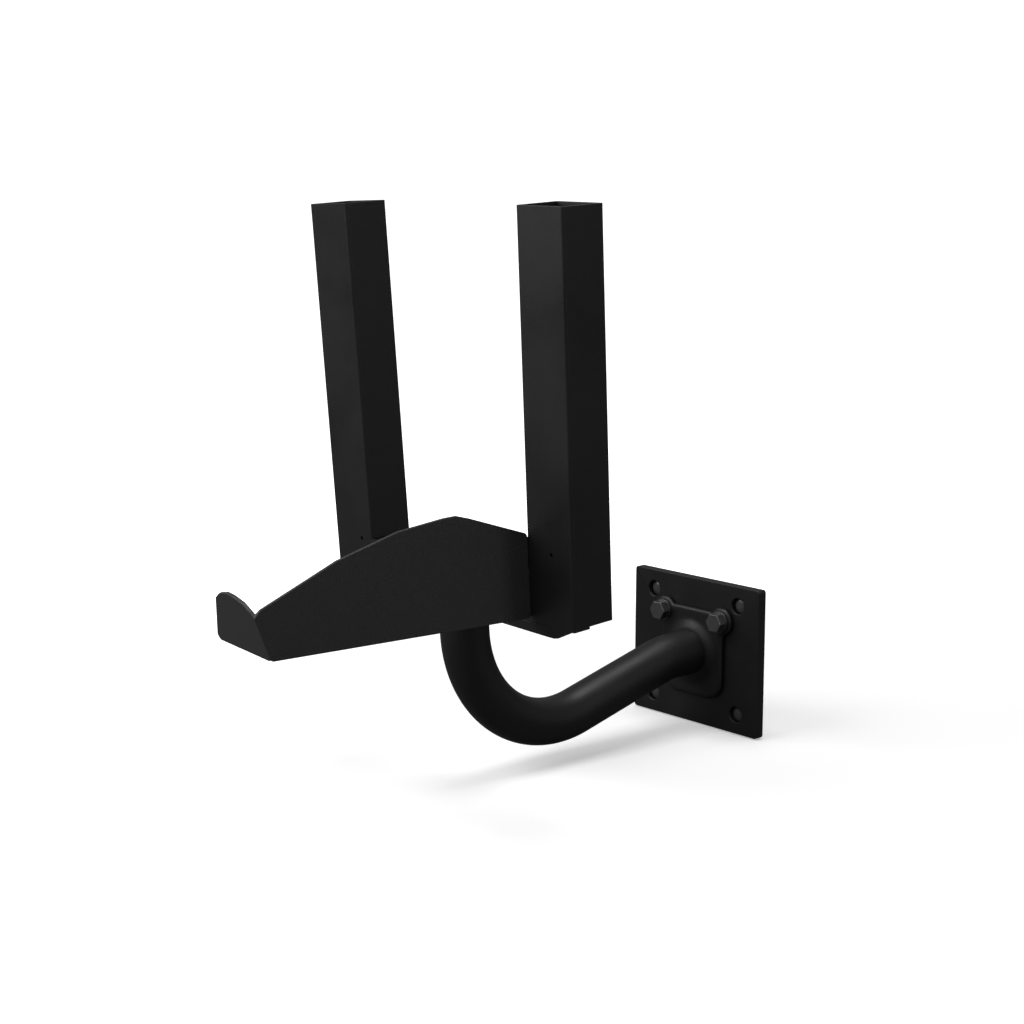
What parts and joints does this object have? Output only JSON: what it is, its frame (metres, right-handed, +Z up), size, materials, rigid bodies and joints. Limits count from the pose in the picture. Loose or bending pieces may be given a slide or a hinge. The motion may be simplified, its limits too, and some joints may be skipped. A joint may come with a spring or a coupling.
{
  "type": "bicycle wall rack",
  "caption": "Wall rack for a bicycle: a gooseneck tube arm on a square wall plate carries a swivelling cradle of box posts with one folded side hook.",
  "frame": {"origin": "centre of the wall plate's back face", "axes": "+Y into the wall, +Z up, +X to the right as seen from the room"},
  "size_m": [0.3234, 0.5596, 0.4957],
  "materials": {
    "powder_coat": "satin black powder coat",
    "black_zinc": "black zinc",
    "bright_steel": "turned",
    "bronze": "sintered",
    "bush_polymer": "moulded",
    "cap_plastic": "moulded",
    "weld_steel": "coated weld"
  },
  "bodies": {
    "arm": {"wall_plate": "powder_coat", "arm_flange": "powder_coat", "flange_washers": "black_zinc", "flange_bolts": "black_zinc", "root_weld": "powder_coat", "arm_root": "powder_coat", "arm_tube": "powder_coat", "arm_end": "powder_coat", "pivot_plug": "bright_steel", "plug_weld": "powder_coat", "stop_pin": "bright_steel", "thrust_washer": "bronze", "pivot_washer": "black_zinc", "pivot_nut": "black_zinc", "dust_cap": "cap_plastic"},
    "cradle": {"hub_sleeve": "powder_coat", "lower_bush": "bush_polymer", "upper_bush": "bush_polymer", "stop_collar": "powder_coat", "lower_gusset": "powder_coat", "upper_gusset": "powder_coat", "front_sheet": "powder_coat", "left_post_back": "powder_coat", "right_post_back": "powder_coat", "left_seam_weld": "weld_steel", "right_seam_weld": "weld_steel", "left_doubler": "powder_coat", "right_doubler": "powder_coat", "hook_plate": "powder_coat", "hook_weld": "powder_coat"}
  },
  "joints": [
    {"name": "cradle_swivel", "type": "hinge", "parent": "arm", "child": "cradle", "pos_m": [0, -0.2964, 0.09367], "axis": [0, -0.0645, 0.9979], "range_deg": [-80, 80]}
  ]
}
